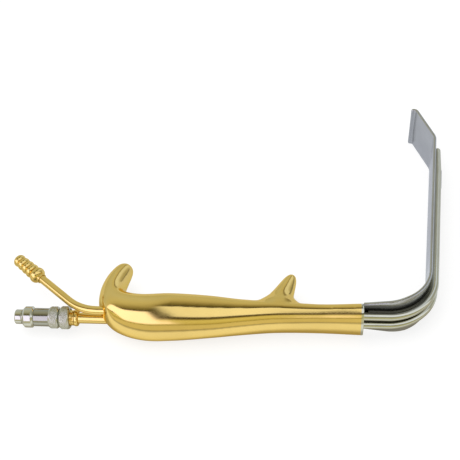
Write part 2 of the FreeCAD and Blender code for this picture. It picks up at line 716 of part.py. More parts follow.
def hose_barb(maker, place, heading):
    """The beaded barb: a collar, a large bead and a row of small ones."""
    neck = maker["barb_neck_diameter"] / 2
    bore = maker["barb_bore"] / 2
    seat = maker["rear_tube_diameter"] / 2 + maker["fit_gap"]
    along = maker["barb_ring_length"]
    corners = [(0, seat), (0, maker["barb_ring_diameter"] / 2), (along, maker["barb_ring_diameter"] / 2),
               (along, neck, -(maker["olive_diameter"] / 2 - neck))]
    seat_end = along
    along = along + maker["olive_length"]
    for index in range(int(maker.number("bead_count"))):
        rise = (maker["bead_diameter"] - maker["bead_taper"] * index) / 2 - neck
        corners.append((along, neck, -rise))
        along = along + maker["bead_pitch"]
    corners += [(along, neck), (along, bore), (seat_end, bore), (seat_end, seat)]
    body = turned(maker, "hose_barb", list(reversed(shifted_bows(corners))))
    maker.place(body, place.x, place.y, place.z, FreeCAD.Rotation(Z_AXIS, heading))
    return body


def shifted_bows(corners):
    """Move each bow to the corner at the far end of its edge, for an outline read backwards."""
    moved = []
    for index, corner in enumerate(corners):
        before = corners[index - 1]
        bow = (-before[2],) if len(before) == 3 else ()
        moved.append(tuple(corner[:2]) + bow)
    return moved


def light_post(maker):
    """The gold post behind the handle with its ring, threaded collar and inlet ferrule."""
    side = -maker.number("tube_spacing") / 2
    end = -maker.number("tube_exit")
    inside = maker["coupling_place"]
    length = maker["post_length"] + maker.number("tube_exit") - inside
    bore = maker["blade_tube_bore"] / 2
    radius = maker["post_diameter"] / 2
    post = turned(maker, "light_post", ((0, bore), (length, bore), (length, radius), (0, radius)))
    maker.place(post, end - maker.number("post_length"), 0, side)
    seat = radius + maker["fit_gap"]
    edge = maker["edge_break"]
    ring = maker["ring_diameter"] / 2
    wide = maker["ring_length"]
    piece = turned(maker, "post_ring", ((0, seat), (wide, seat), (wide, ring - edge),
                                        (wide - edge, ring), (edge, ring), (0, ring - edge)))
    ring_x = end - maker.number("ring_place") - wide.number
    maker.place(piece, ring_x, 0, side)
    collar = maker["collar_diameter"] / 2
    long = maker["collar_visible"] + maker["collar_thread"]
    piece = turned(maker, "post_collar", ((0, seat), (long, seat), (long, collar), (edge, collar),
                                          (0, collar - edge)))
    collar_x = ring_x - long.number
    maker.place(piece, collar_x, 0, side)
    reach = maker["ferrule_length"]
    piece = turned(maker, "inlet_ferrule", ((0, bore), (reach, bore), (reach, radius), (edge, radius),
                                            (0, radius - edge)))
    maker.place(piece, end - maker.number("post_length") - reach.number, 0, side)
    return ring_x - maker.number("collar_visible")


def couplings(maker):
    """The two sleeves inside the handle that join the gold pieces to the steel tubes."""
    half = maker["coupling_length"] / 2
    side = maker.number("tube_spacing") / 2
    front = maker["blade_tube_diameter"] / 2 + maker["fit_gap"]
    for label, rear_diameter, outside, z in (
            ("suction_coupling", maker["rear_tube_diameter"], maker["suction_sleeve_diameter"], side),
            ("light_coupling", maker["post_diameter"], maker["light_sleeve_diameter"], -side)):
        rear = rear_diameter / 2 + maker["fit_gap"]
        outer = outside / 2
        sleeve = turned(maker, label, ((0, rear), (half, rear), (half, front), (2 * half, front),
                                       (2 * half, outer), (0, outer)))
        maker.place(sleeve, -maker.number("coupling_place") - half.number, 0, z)


def light_adapter(maker, nut_front):
    """The adapter behind the nut: sleeve, knurled grip and barrel, flange and nipple."""
    side = -maker.number("tube_spacing") / 2
    bore = maker["adapter_bore"] / 2
    gap = maker["running_gap"]
    play = maker["side_gap"]
    sleeve = maker["sleeve_diameter"] / 2
    edge = maker["knurl_edge"]
    web = maker["nut_web"]
    ring = maker["retaining_length"]
    nut = maker["nut_diameter"] / 2
    clear = maker["collar_diameter"] / 2 + gap
    long = maker["nut_length"]
    piece = turned(maker, "union_nut", (
        (0, sleeve + gap), (web, sleeve + gap), (web, clear), (long, clear), (long, nut - edge),
        (long - edge, nut), (edge, nut), (0, nut - edge)))
    nut_rear = nut_front - long.number
    maker.place(piece, nut_rear, 0, side)
    ring_x = nut_rear + web.number + play.number
    piece = turned(maker, "retaining_ring", (
        (0, sleeve), (ring, sleeve), (ring, clear - gap), (0, clear - gap)))
    maker.place(piece, ring_x, 0, side)
    grip_length = maker["grip_length"]
    grip = maker["grip_diameter"] / 2
    barrel = maker["barrel_diameter"] / 2
    grip_start = maker["barrel_length"]
    grip_end = grip_start + grip_length
    sleeve_end = grip_end + 2 * play + web + ring
    piece = turned(maker, "adapter_barrel", (
        (0, bore), (sleeve_end, bore), (sleeve_end, sleeve), (grip_end, sleeve),
        (grip_end, grip - edge), (grip_end - edge, grip), (grip_start + edge, grip),
        (grip_start, grip - edge), (grip_start, barrel), (0, barrel)))
    barrel_x = nut_rear - play.number - grip_end.number
    maker.place(piece, barrel_x, 0, side)
    nipple = maker["nipple_diameter"] / 2
    groove = maker["groove_diameter"] / 2
    disc = maker["flange_disc_diameter"] / 2
    bevel = maker["flange_disc_chamfer"]
    round_edge = maker["edge_break"]
    nipple_end = maker["nipple_length"]
    groove_end = nipple_end + maker["groove_length"]
    disc_end = groove_end + maker["flange_disc_length"]
    piece = turned(maker, "adapter_tip", (
        (0, groove), (0, nipple - round_edge), (round_edge, nipple), (nipple_end, nipple),
        (nipple_end, groove + round_edge / 2), (groove_end, groove + round_edge / 2),
        (groove_end, disc - bevel), (groove_end + bevel, disc), (disc_end - bevel, disc),
        (disc_end, disc - bevel), (disc_end, bore), (round_edge, bore))[::-1])
    maker.place(piece, barrel_x - disc_end.number, 0, side)


def set_down(maker):
    """Stand the instrument on its lowest side, with the origin under the middle of its box."""
    maker.doc.recompute()
    box = FreeCAD.BoundBox()
    for piece in maker.pieces:
        box.add(piece.Shape.optimalBoundingBox(False, False))
    shift = FreeCAD.Vector(-box.Center.x, -box.Center.y, -box.ZMin)
    for piece in maker.pieces:
        piece.Placement.Base = piece.Placement.Base + shift
    print("handle front face at %.3f %.3f %.3f" % tuple(shift))
    print("box %.2f %.2f %.2f" % (box.XLength, box.YLength, box.ZLength))


def check(maker):
    maker.doc.recompute()
    for item in maker.doc.Objects:
        if "Invalid" in item.State or "Error" in item.State:
            raise RuntimeError("%s failed: %s" % (item.Name, item.State))
    for piece in maker.pieces:
        if piece.Shape.isNull() or not piece.Shape.isValid():
            raise RuntimeError(piece.Label + " has no valid shape")


def main():
    doc = FreeCAD.newDocument("fiber_optic_retractor")
    maker = Maker(doc)
    handle_shells(maker)
    front_end_plate(maker)
    blade(maker)
    blade_suction_tube(maker)
    light_head(maker, *blade_light_tube(maker))
    hose_barb(maker, *rear_suction_tube(maker))
    couplings(maker)
    light_adapter(maker, light_post(maker))
    check(maker)
    set_down(maker)
    check(maker)
    os.makedirs("parts", exist_ok=True)
    for piece in maker.pieces:
        print("%-20s solids %d volume %.1f" % (piece.Label, len(piece.Shape.Solids), piece.Shape.Volume))
        piece.Shape.exportStep("parts/%s.step" % piece.Label)


main()
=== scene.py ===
"""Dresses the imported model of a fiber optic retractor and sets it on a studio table."""
import math

import bmesh
import bpy
from bpy.props import FloatProperty, FloatVectorProperty, IntProperty, PointerProperty
from mathutils import Matrix, Vector


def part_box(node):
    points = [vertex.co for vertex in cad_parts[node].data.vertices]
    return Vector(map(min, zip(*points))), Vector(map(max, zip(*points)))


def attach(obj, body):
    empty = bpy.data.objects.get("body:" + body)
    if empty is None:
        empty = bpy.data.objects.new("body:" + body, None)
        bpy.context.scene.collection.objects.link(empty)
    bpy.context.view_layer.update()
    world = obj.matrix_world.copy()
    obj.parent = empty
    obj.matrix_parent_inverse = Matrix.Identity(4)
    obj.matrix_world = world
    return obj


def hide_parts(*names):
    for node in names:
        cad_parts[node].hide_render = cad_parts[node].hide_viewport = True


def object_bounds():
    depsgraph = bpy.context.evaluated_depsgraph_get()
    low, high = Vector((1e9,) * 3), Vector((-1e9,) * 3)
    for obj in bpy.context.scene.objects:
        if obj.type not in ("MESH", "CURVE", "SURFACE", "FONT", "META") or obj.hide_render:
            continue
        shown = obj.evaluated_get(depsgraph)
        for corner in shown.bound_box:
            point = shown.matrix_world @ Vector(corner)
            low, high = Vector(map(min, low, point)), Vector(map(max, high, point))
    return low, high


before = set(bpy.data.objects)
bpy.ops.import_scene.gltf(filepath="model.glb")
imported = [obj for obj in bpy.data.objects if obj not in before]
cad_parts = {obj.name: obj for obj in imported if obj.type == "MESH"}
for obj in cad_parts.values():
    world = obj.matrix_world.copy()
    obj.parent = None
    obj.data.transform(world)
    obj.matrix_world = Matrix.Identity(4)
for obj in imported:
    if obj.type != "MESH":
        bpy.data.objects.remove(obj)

bl_info = {
    "name": "Fiber Optic Retractor",
    "version": (1, 0, 0),
    "blender": (4, 5, 0),
    "location": "View3D > Sidebar > Retractor",
    "description": "Builds the dressed pieces of a fiber optic retractor and its studio table",
    "category": "Object",
}

CAD_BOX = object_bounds()
MM = 0.001
X_AXIS = Vector((1, 0, 0))
Z_AXIS = Vector((0, 0, 1))

# Sizes in millimetres and degrees, measured from the middle of the handle's front face.

# Ovals across the handle from its front face round into the hook: x, y, lean, half height,
# half width.
HANDLE_OVALS = (
    (0, 0.5, 0, 6.6, 11.5), (-24, 0.3, 0, 6.2, 10.5), (-48, 0.8, 0, 7.5, 10.8),
    (-66, 0.2, 0, 9.0, 11.4), (-84, 0, 0, 11.3, 12.6), (-106, -0.7, 0, 12.6, 14.4),
    (-122, -1.2, 0, 12.1, 14.2), (-133.7, 2, 20, 10.9, 13.0), (-139.2, 7.7, 46, 9, 11.4),
    (-140.6, 14.8, 69, 7.5, 9.8), (-139.3, 22.8, 87, 6.7, 8.2), (-137.2, 29, 94, 5.9, 6.8),
    (-135.5, 33.4, 100, 4.4, 4.9), (-134.9, 36.0, 102, 1.4, 1.6))
SPUR_OVALS = (
    (-46.6, 2, 90, 17, 10.6), (-46.8, 6.5, 90, 15.4, 9.7), (-46.6, 9.3, 90, 12.2, 8.4),
    (-46.0, 12, 90, 9.3, 7.2), (-44.9, 15, 90, 7.1, 6.4), (-42.7, 20.5, 90, 5.5, 5.4),
    (-40.7, 26, 90, 4.1, 4.2), (-39.6, 29.3, 90, 2.5, 2.9), (-39.4, 30.6, 90, 0.9, 1.2))
# Where the spur's root is blended into the handle.
SPUR_ROOT_MIDDLE = (-46, 9)
SPUR_ROOT_REACH = 18
SPUR_ROOT_HEIGHTS = (4, 15)
SPUR_ROOT_PASSES = 40
# The plate reaches from its set-back under the handle's edge to its thickness in front of it.
PLATE_THICKNESS = 0.4
PLATE_SET_BACK = 1.0
PLATE_EDGE = 0.2
# Both tubes run at this distance to either side of the middle.
TUBE_SIDE = 3.75
TUBE_DIAMETER = 4.6
# The blade: its sheet, its height over the tubes, and its bend.
BLADE_THICKNESS = 1.8
BLADE_HALF_WIDTH = 14.5
BLADE_ARCH = 0.4
BLADE_LEVEL = 3.346
BEND_START = 13.5
BEND_RADIUS = 23.6
BEND_TURN = 84.9
BLADE_RISE = 105.8
# Half width of the neck, and where along the handle's axis it widens into the blade.
NECK_HALF_WIDTH = 11.0
FLARE_START = 1.0
FLARE_END = 24.0
FLARE_HEIGHT = 60
# The lip and its flange: straight runs (length,) and bends (radius, degrees).
LIP_RUNS = ((9.0, 27.1), (23.0,), (1.9, 68.0), (0.2,), (1.4,))
LIP_CORNER = 1.3
# Straight runs of the tubes behind the blade.
SUCTION_RUN = 87
LIGHT_RUN = 95
# The flattened tip of the suction tube.
TIP_LENGTH = 19
TIP_HALF_HEIGHT = 1.9
TIP_HALF_WIDTH = 2.8
TIP_SHIFT = 0.4
TIP_WALL = 0.4
TIP_BORE_ROWS = 12
# Where the solder starts and ends, in places of the tubes' paths.
SOLDER_START = 3
SOLDER_END = 12
HANDLE_END = 144.0
# The gold tube to the hose barb, its beads and its bore.
INLET_START = 128
INLET_RADIUS = 2.35
BARB_NECK = 2.7
BARB_BORE = 1.6
BARB_COLLAR = 1.6
FIRST_BEAD = (5.6, 2.0)
BEAD_LENGTH = 3.8
BEAD_RADII = (4.2, 4.05, 3.9, 3.75)
# Rear ends of the turned pieces on the light post's axis.
POST_PLACE = -HANDLE_END - 42
RING_PLACE = -HANDLE_END - 16.7
COLLAR_PLACE = RING_PLACE - 5.9
NUT_PLACE = RING_PLACE - 8.4
BARREL_PLACE = NUT_PLACE - 14.4
FLANGE_PLACE = BARREL_PLACE - 11.0
NUT_RADIUS = 6.55
GRIP_RADIUS = 6.25
THREAD_DEPTH = 0.34


def frame_origin():
    """The middle of the handle's front face, between the two tubes."""
    shell_low, shell_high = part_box("handle_left_shell")
    post_low, post_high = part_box("light_post")
    return Vector((shell_high.x, (post_low.y + post_high.y) / 2, shell_low.z))


ORIGIN = frame_origin()


def at(x, y, z=0.0):
    """A place measured in millimetres from the middle of the handle's front face."""
    return ORIGIN + Vector((x, y, z)) * MM


# Shapes

def flowing(sections, step):
    """Rows of sizes between the given ones, on a smooth curve through their neighbours."""
    along = [0.0]
    for here, there in zip(sections, sections[1:]):
        along.append(along[-1] + math.hypot(there[0] - here[0], there[1] - here[1]))
    slopes = []
    for index in range(len(sections)):
        low, high = max(index - 1, 0), min(index + 1, len(sections) - 1)
        span = along[high] - along[low]
        slopes.append([(b - a) / span for a, b in zip(sections[low], sections[high])])
    filled = []
    for index in range(len(sections) - 1):
        span = along[index + 1] - along[index]
        count = max(1, round(span / step))
        for part in range(count):
            t = part / count
            start, rise = 2 * t ** 3 - 3 * t ** 2 + 1, (t ** 3 - 2 * t ** 2 + t) * span
            finish, fall = 3 * t ** 2 - 2 * t ** 3, (t ** 3 - t ** 2) * span
            columns = zip(sections[index], slopes[index], sections[index + 1], slopes[index + 1])
            filled.append([start * a + rise * slope_a + finish * b + fall * slope_b
                           for a, slope_a, b, slope_b in columns])
    filled.append(list(sections[-1]))
    return filled


def oval_rings(sections, step, around):
    """Rings of points of a form of leaning ovals, in millimetres."""
    rings = []
    for x, y, lean, half_height, half_width in flowing(sections, step):
        up = Vector((math.sin(math.radians(lean)), math.cos(math.radians(lean)), 0))
        angles = [2 * math.pi * i / around for i in range(around)]
        rings.append([Vector((x, y, 0)) + up * (half_height * math.sin(angle))
                      + Z_AXIS * (half_width * math.cos(angle)) for angle in angles])
    return rings


def skin(bm, rings):
    """Faces between closed rings of points in millimetres, with a face over each end."""
    loops = [[bm.verts.new(at(*point)) for point in ring] for ring in rings]
    for low, high in zip(loops, loops[1:]):
        for i in range(len(low)):
            j = (i + 1) % len(low)
            bm.faces.new((low[i], low[j], high[j], high[i]))
    bm.faces.new(loops[0][::-1])
    bm.faces.new(loops[-1])


def forward(heading):
    """The way along a path in the plane of the instrument."""
    return Vector((math.cos(heading), math.sin(heading), 0))


def inward(heading):
    """The way to the left of such a path."""
    return Vector((-math.sin(heading), math.cos(heading), 0))


def samples_along(start, runs, step):
    """Places and headings along a path of straight runs (length,) and bends (radius, degrees)."""
    here, heading = Vector(start), 0.0
    found = [(here.copy(), heading)]
    for run in runs:
        if len(run) == 1:
            count = max(1, round(run[0] / step))
            found += [(here + forward(heading) * (run[0] * i / count), heading)
                      for i in range(1, count + 1)]
        else:
            radius, turn = run[0], math.radians(run[1])
            spoke = inward(heading) * -math.copysign(radius, turn)
            centre = here - spoke
            count = max(4, math.ceil(abs(turn) / math.radians(2.5)))
            for i in range(1, count + 1):
                angle = turn * i / count
                found.append((centre + Matrix.Rotation(angle, 3, "Z") @ spoke, heading + angle))
            heading += turn
        here = found[-1][0].copy()
    return found


def swept_rings(path, section, side=0.0):
    """Rings of a section (inward, across) carried along a path at one side of the middle."""
    return [[place + inward(heading) * v + Z_AXIS * (side + w) for v, w in section(index)]
            for index, (place, heading) in enumerate(path)]


def round_section(radius, around=48, tall=1.0, wide=1.0, shift=0.0):
    return [(shift + tall * radius * math.sin(2 * math.pi * i / around),
             wide * radius * math.cos(2 * math.pi * i / around)) for i in range(around)]


def softened(profile, reach, steps=4):
    """Round the corners of a turned outline, by at most the given reach."""
    points = [Vector(point) for point in profile]
    soft = []
    for before, here, after in zip(points[-1:] + points[:-1], points, points[1:] + points[:1]):
        back, ahead = before - here, after - here
        cut = min(reach, back.length * 0.45, ahead.length * 0.45)
        first, last = here + back.normalized() * cut, here + ahead.normalized() * cut
        for i in range(steps + 1):
            t = i / steps
            soft.append(first * (1 - t) ** 2 + here * (2 * t * (1 - t)) + last * t ** 2)
    return soft


def turned(bm, profile, start, heading, side, around=96, relief=None):
    """A turned solid: a closed outline of (distance, radius) spun round an axis."""
    foot = Vector(start) + Z_AXIS * side
    columns = []
    for i in range(around):
        angle = 2 * math.pi * i / around
        spoke = inward(heading) * math.sin(angle) + Z_AXIS * math.cos(angle)
        column = []
        for distance, radius in profile:
            lift = relief(distance, radius, angle) if relief else 0.0
            place = foot + forward(heading) * distance + spoke * (radius + lift)
            column.append(bm.verts.new(at(*place)))
        columns.append(column)
    for i in range(around):
        here, there = columns[i], columns[(i + 1) % around]
        for j in range(len(profile)):
            k = (j + 1) % len(profile)
            bm.faces.new((here[j], here[k], there[k], there[j]))


def finer(profile, step, depth=1.2):
    """Divide an outline's long edges into short ones, down to a depth under its outside."""
    points = [Vector(point) for point in profile]
    floor = max(point.y for point in points) - depth
    fine = []
    for here, there in zip(points, points[1:] + points[:1]):
        close = step if min(here.y, there.y) > floor else 2.0
        count = max(1, round((there - here).length / close))
        fine += [here.lerp(there, i / count) for i in range(count)]
    return fine


def bow(start, end, rise, steps=14):
    """Points of a bulge between two places of an outline, without its first point."""
    middle = (Vector(start) + Vector(end)) / 2
    half = (end[0] - start[0]) / 2
    radius = (half * half + rise * rise) / (2 * rise)
    centre = middle.y + rise - radius
    turn = math.asin(min(1.0, half / radius))
    return [(middle.x + radius * math.sin(turn * (2 * i / steps - 1)),
             centre + radius * math.cos(turn * (2 * i / steps - 1))) for i in range(1, steps + 1)]


# Pieces

def piece(name, bm, finish, replaced, body="retractor", sharp=40.0):
    """Make an object of a mesh, let it ride on its body and stand for its solids."""
    bmesh.ops.recalc_face_normals(bm, faces=bm.faces)
    mesh = bpy.data.meshes.new(name)
    bm.to_mesh(mesh)
    bm.free()
    mesh.shade_smooth()
    mesh.set_sharp_from_angle(angle=math.radians(sharp))
    mesh.materials.append(finish_of(finish))
    made = bpy.data.objects.new(name, mesh)
    bpy.context.scene.collection.objects.link(made)
    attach(made, body)
    if replaced:
        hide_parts(*replaced)


def skinned_piece(name, rings, finish, replaced):
    """A piece of the retractor's own body, skinned over rings of points."""
    bm = bmesh.new()
    skin(bm, rings)
    piece(name, bm, finish, replaced)


def turned_piece(name, outline, x, finish, replaced, reach, step=None, body="retractor", **more):
    """A turned piece on the light post's axis, starting at x and running forwards."""
    profile = softened(outline, reach)
    bm = bmesh.new()
    turned(bm, finer(profile, step) if step else profile, (x, 0, 0), 0.0, -TUBE_SIDE, **more)
    piece(name, bm, finish, replaced, body, 50)


def with_modifiers(name, bm, modifiers):
    """The mesh that a list of (type, settings) modifiers makes of another."""
    mesh = bpy.data.meshes.new(name)
    bm.to_mesh(mesh)
    bm.free()
    blank = bpy.data.objects.new(name + "_blank", mesh)
    bpy.context.scene.collection.objects.link(blank)
    for kind, settings in modifiers:
        modifier = blank.modifiers.new(kind.lower(), kind)
        for key, value in settings.items():
            setattr(modifier, key, value)
    graph = bpy.context.evaluated_depsgraph_get()
    shaped = bpy.data.meshes.new_from_object(blank.evaluated_get(graph))
    bpy.data.objects.remove(blank)
    bpy.data.meshes.remove(mesh)
    return shaped


# Finishes

class Value:
    """A socket of a shader, with the arithmetic that the finishes are written in."""

    def __init__(self, finish, socket):
        self.finish = finish
        self.socket = socket

    def _math(self, operation, *inputs):
        node = self.finish.node("ShaderNodeMath", {"operation": operation}, *inputs)
        return Value(self.finish, node.outputs[0])

    def __add__(self, other):
        return self._math("ADD", self, other)

    def __radd__(self, other):
        return self._math("ADD", other, self)

    def __sub__(self, other):
        return self._math("SUBTRACT", self, other)

    def __rsub__(self, other):
        return self._math("SUBTRACT", other, self)

    def __mul__(self, other):
        return self._math("MULTIPLY", self, other)

    def __truediv__(self, other):
        return self._math("DIVIDE", self, other)

    def function(self, operation, *others):
        return self._math(operation, self, *others)

    def band(self, middle, width):
        """One at the middle, falling softly to none at the width to either side."""
        away = (self - middle).function("ABSOLUTE") / width
        return (1 - away).function("MAXIMUM", 0.0)

    def ramp(self, low, high):
        """None at the low value, one at the high one, smooth between."""
        node = self.finish.node("ShaderNodeMapRange", {"interpolation_type": "SMOOTHSTEP"},
                                self, low, high, 0.0, 1.0)
        return Value(self.finish, node.outputs[0])


class Finish:
    """A node tree under construction."""

    def __init__(self, tree):
        self.tree = tree
        tree.nodes.clear()

    def node(self, kind, settings=None, *inputs, **named):
        """Add a node: its settings first, then the values or links of its sockets."""
        made = self.tree.nodes.new(kind)
        for key, value in (settings or {}).items():
            if key == "stops":
                while len(made.color_ramp.elements) > len(value):
                    made.color_ramp.elements.remove(made.color_ramp.elements[-1])
                while len(made.color_ramp.elements) < len(value):
                    made.color_ramp.elements.new(1.0)
                for stop, (position, colour) in zip(made.color_ramp.elements, value):
                    stop.position = position
                    stop.color = colour
            else:
                setattr(made, key, value)
        for index, value in enumerate(inputs):
            self.feed(made.inputs[index], value)
        for key, value in named.items():
            self.feed(made.inputs[key.replace("_", " ")], value)
        return made

    def feed(self, socket, value):
        """Link a value into a socket, or set it there."""
        source = value.socket if isinstance(value, Value) else value
        if isinstance(source, bpy.types.NodeSocket):
            self.tree.links.new(source, socket)
        else:
            socket.default_value = source

    def place(self, stretch=(1, 1, 1)):
        """Object coordinates, stretched along the axes."""
        where = self.node("ShaderNodeTexCoord").outputs["Object"]
        scaled = self.node("ShaderNodeVectorMath", {"operation": "MULTIPLY"}, where, stretch)
        return scaled.outputs[0]

    def distance(self, axis):
        """Millimetres from the middle of the handle's front face along an axis."""
        parts = self.node("ShaderNodeSeparateXYZ", None, self.place())
        return (Value(self, parts.outputs[axis]) - ORIGIN[axis]) / MM

    def noise(self, scale, detail=3.0, roughness=0.5, stretch=(1, 1, 1)):
        node = self.node("ShaderNodeTexNoise", None, Vector=self.place(stretch), Scale=scale,
                         Detail=detail, Roughness=roughness)
        return Value(self, node.outputs["Fac"])

    def facing(self):
        """The parts of the way that the surface faces, along the axes."""
        normal = self.node("ShaderNodeTexCoord").outputs["Normal"]
        parts = self.node("ShaderNodeSeparateXYZ", None, normal)
        return [Value(self, socket) for socket in parts.outputs]

    def rays(self):
        """Shares of the rays that see the background, and of those that a gloss sends out."""
        path = self.node("ShaderNodeLightPath")
        camera, through, glossy = (Value(self, path.outputs["Is %s Ray" % name])
                                   for name in ("Camera", "Transmission", "Glossy"))
        return camera.function("MAXIMUM", through), glossy

    def mix(self, amount, first, second, blend="MIX"):
        """A colour between two."""
        node = self.node("ShaderNodeMix", {"data_type": "RGBA", "blend_type": blend})
        for index, value in ((0, amount), (6, first), (7, second)):
            self.feed(node.inputs[index], value)
        return node.outputs[2]

    def shades(self, amount, colour, first, second):
        """A colour between two shades of itself."""
        return self.mix(amount, shade_of(colour, first), shade_of(colour, second))

    def bump(self, height, distance, strength):
        return self.node("ShaderNodeBump", None, Strength=strength, Distance=distance,
                         Height=height).outputs[0]

    def surface(self, **named):
        shader = self.node("ShaderNodeBsdfPrincipled", None, **named)
        self.node("ShaderNodeOutputMaterial", None, shader.outputs[0])


def new_material(name, colour, metallic):
    material = bpy.data.materials.new(name)
    material.use_nodes = True
    material.diffuse_color = (*colour[:3], 1.0)
    material.metallic = metallic
    return material, Finish(material.node_tree)


def shade_of(colour, factor):
    return tuple(min(1.0, value * factor) for value in colour[:3]) + (1.0,)


def gold_coating(looks):
    """Hard gold-coloured coating over polished steel, with faint handling marks."""
    material, finish = new_material("gold_coating", looks.gold, 1.0)
    clouds = finish.noise(45.0, 2.0)
    smears = finish.noise(160.0, 4.0, 0.6, (1, 1, 2.2))
    hairs = finish.noise(900.0, 3.0, 0.7, (0.25, 1, 1))
    grain = finish.noise(5200.0, 2.0)
    colour = finish.shades(clouds.ramp(0.35, 0.7), looks.gold, 0.96, 1.04)
    colour = finish.mix(smears.ramp(0.55, 0.8) * 0.25, colour, shade_of(looks.gold_warm, 1.0))
    rough = looks.gold_roughness + (smears - 0.5) * 0.05 + (hairs - 0.5) * 0.03
    height = clouds * 0.6 + hairs * 0.05 + grain * 0.02
    finish.surface(Base_Color=colour, Metallic=1.0, Roughness=rough,
                   Specular_Tint=(0.92, 0.80, 0.5, 1.0), Normal=finish.bump(height, 0.00012, 0.35))
    return material


def satin_steel(looks):
    """Stainless sheet, finely brushed along the blade, with painted shade on its outer face beside
    the tubes in the neck and bend.
    """
    material, finish = new_material("satin_steel", looks.steel, 1.0)
    clouds = finish.noise(60.0, 2.0)
    lines = finish.noise(1500.0, 3.0, 0.6, (0.035, 0.035, 1))
    fine = finish.noise(6000.0, 2.0, 0.6, (0.02, 0.02, 1))
    colour = finish.shades(clouds.ramp(0.3, 0.7), looks.steel, 0.93, 1.04)
    colour = finish.mix(lines.ramp(0.45, 0.75) * 0.3, colour, shade_of(looks.steel, 0.82))
    rise, across = finish.distance(1), finish.distance(2)
    facing = finish.facing()
    # Painted shade: the outer face is darkened beside the tubes up to the bend, standing in for the
    # shade and dark reflection there.
    outer_face = (facing[0] - facing[1]).ramp(0.3, 0.9)
    painted_shade = outer_face * rise.ramp(34.0, 10.0) * across.function("ABSOLUTE").ramp(12.6, 8.8)
    colour = finish.mix(painted_shade * 0.85, colour, shade_of(looks.steel, 0.1))
    rough = looks.satin_roughness + (lines - 0.5) * 0.10 + (clouds - 0.5) * 0.05
    rough = rough + rise.ramp(25.0, 45.0) * 0.14
    finish.surface(Base_Color=colour, Metallic=1.0, Roughness=rough,
                   Normal=finish.bump(lines * 0.6 + fine * 0.4, 0.00002, 0.5))
    return material


def polished_steel(looks):
    """Drawn and polished steel of the tubes and the adapter."""
    material, finish = new_material("polished_steel", looks.steel_bright, 1.0)
    clouds = finish.noise(90.0, 3.0)
    marks = finish.noise(1400.0, 3.0, 0.7, (1, 0.2, 1))
    colour = finish.shades(clouds.ramp(0.3, 0.75), looks.steel_bright, 0.94, 1.03)
    rough = looks.polish_roughness + (clouds - 0.5) * 0.06 + (marks - 0.5) * 0.04
    rough = rough + finish.distance(1).ramp(22.0, 45.0) * 0.26
    finish.surface(Base_Color=colour, Metallic=1.0, Roughness=rough,
                   Normal=finish.bump(marks, 0.000012, 0.4))
    return material


def knurled_steel(looks):
    """Steel with a rolled pattern and a grainy tone, and smooth on the adapter's barrel."""
    material, finish = new_material("knurled_steel", looks.steel_dull, 1.0)
    clouds = finish.noise(260.0, 3.0)
    grain = finish.noise(3500.0, 3.0, 0.7)
    colour = finish.shades(grain.ramp(0.35, 0.7), looks.steel_dull, 0.9, 1.35)
    smooth = finish.distance(0).ramp(BARREL_PLACE + 8.9, BARREL_PLACE + 8.3)
    colour = finish.mix(smooth, colour, shade_of(looks.steel_dull, 0.78))
    rough = looks.knurl_roughness + (clouds - 0.5) * 0.12 - smooth * 0.14
    finish.surface(Base_Color=colour, Metallic=1.0, Roughness=rough,
                   Normal=finish.bump(grain, 0.00002, 0.6))
    return material


def silver_solder(looks):
    """Dull silver solder along the tubes, with painted shade in the neck."""
    material, finish = new_material("silver_solder", looks.steel_dull, 1.0)
    lumps = finish.noise(500.0, 3.0, 0.6)
    colour = finish.shades(lumps.ramp(0.35, 0.7), looks.steel_dull, 0.75, 1.05)
    # Painted shade: the solder is darkened in the neck, where shade falls beside the blade.
    painted_neck_shade = finish.distance(1).ramp(34.0, 12.0) * 0.85
    colour = finish.mix(painted_neck_shade, colour, shade_of(looks.steel_dull, 0.1))
    finish.surface(Base_Color=colour, Metallic=1.0, Roughness=lumps * 0.15 + 0.32,
                   Normal=finish.bump(lumps, 0.00012, 0.6))
    return material


def light_fibres(looks):
    """Cut end of a bundle of glass fibres set in resin."""
    material, finish = new_material("light_fibres", looks.fibre, 0.0)
    cells = finish.node("ShaderNodeTexVoronoi", None, Vector=finish.place(), Scale=9000.0)
    near = Value(finish, cells.outputs["Distance"])
    colour = finish.shades(near.ramp(0.25, 0.6), looks.fibre, 1.0, 0.35)
    finish.surface(Base_Color=colour, Metallic=0.0, Roughness=near.ramp(0.2, 0.7) * 0.3 + 0.12,
                   Coat_Weight=0.6, Normal=finish.bump(near, 0.00002, 0.3))
    return material


MAKERS = {
    "gold_coating": gold_coating,
    "satin_steel": satin_steel,
    "polished_steel": polished_steel,
    "knurled_steel": knurled_steel,
    "silver_solder": silver_solder,
    "light_fibres": light_fibres,
}
FINISHES = {}


def finish_of(name):
    """The named finish, made once."""
    if name not in FINISHES:
        FINISHES[name] = MAKERS[name](bpy.context.scene.retractor_looks)
    return FINISHES[name]


def dress_node(name, finish):
    """Give a carried-over solid its finish."""
    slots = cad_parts[name].material_slots
    if not len(slots):
        raise RuntimeError(name + " has no material slot")
    for slot in slots:
        slot.material = finish_of(finish)


# Settings

def colour_property(label, words, default):
    return FloatVectorProperty(name=label, description=words, subtype="COLOR", size=3,
                               min=0.0, max=1.0, default=default)


def gloss_property(label, words, default):
    return FloatProperty(name=label, description="Gloss of the " + words, default=default,
                         min=0.0, max=1.0, subtype="FACTOR")


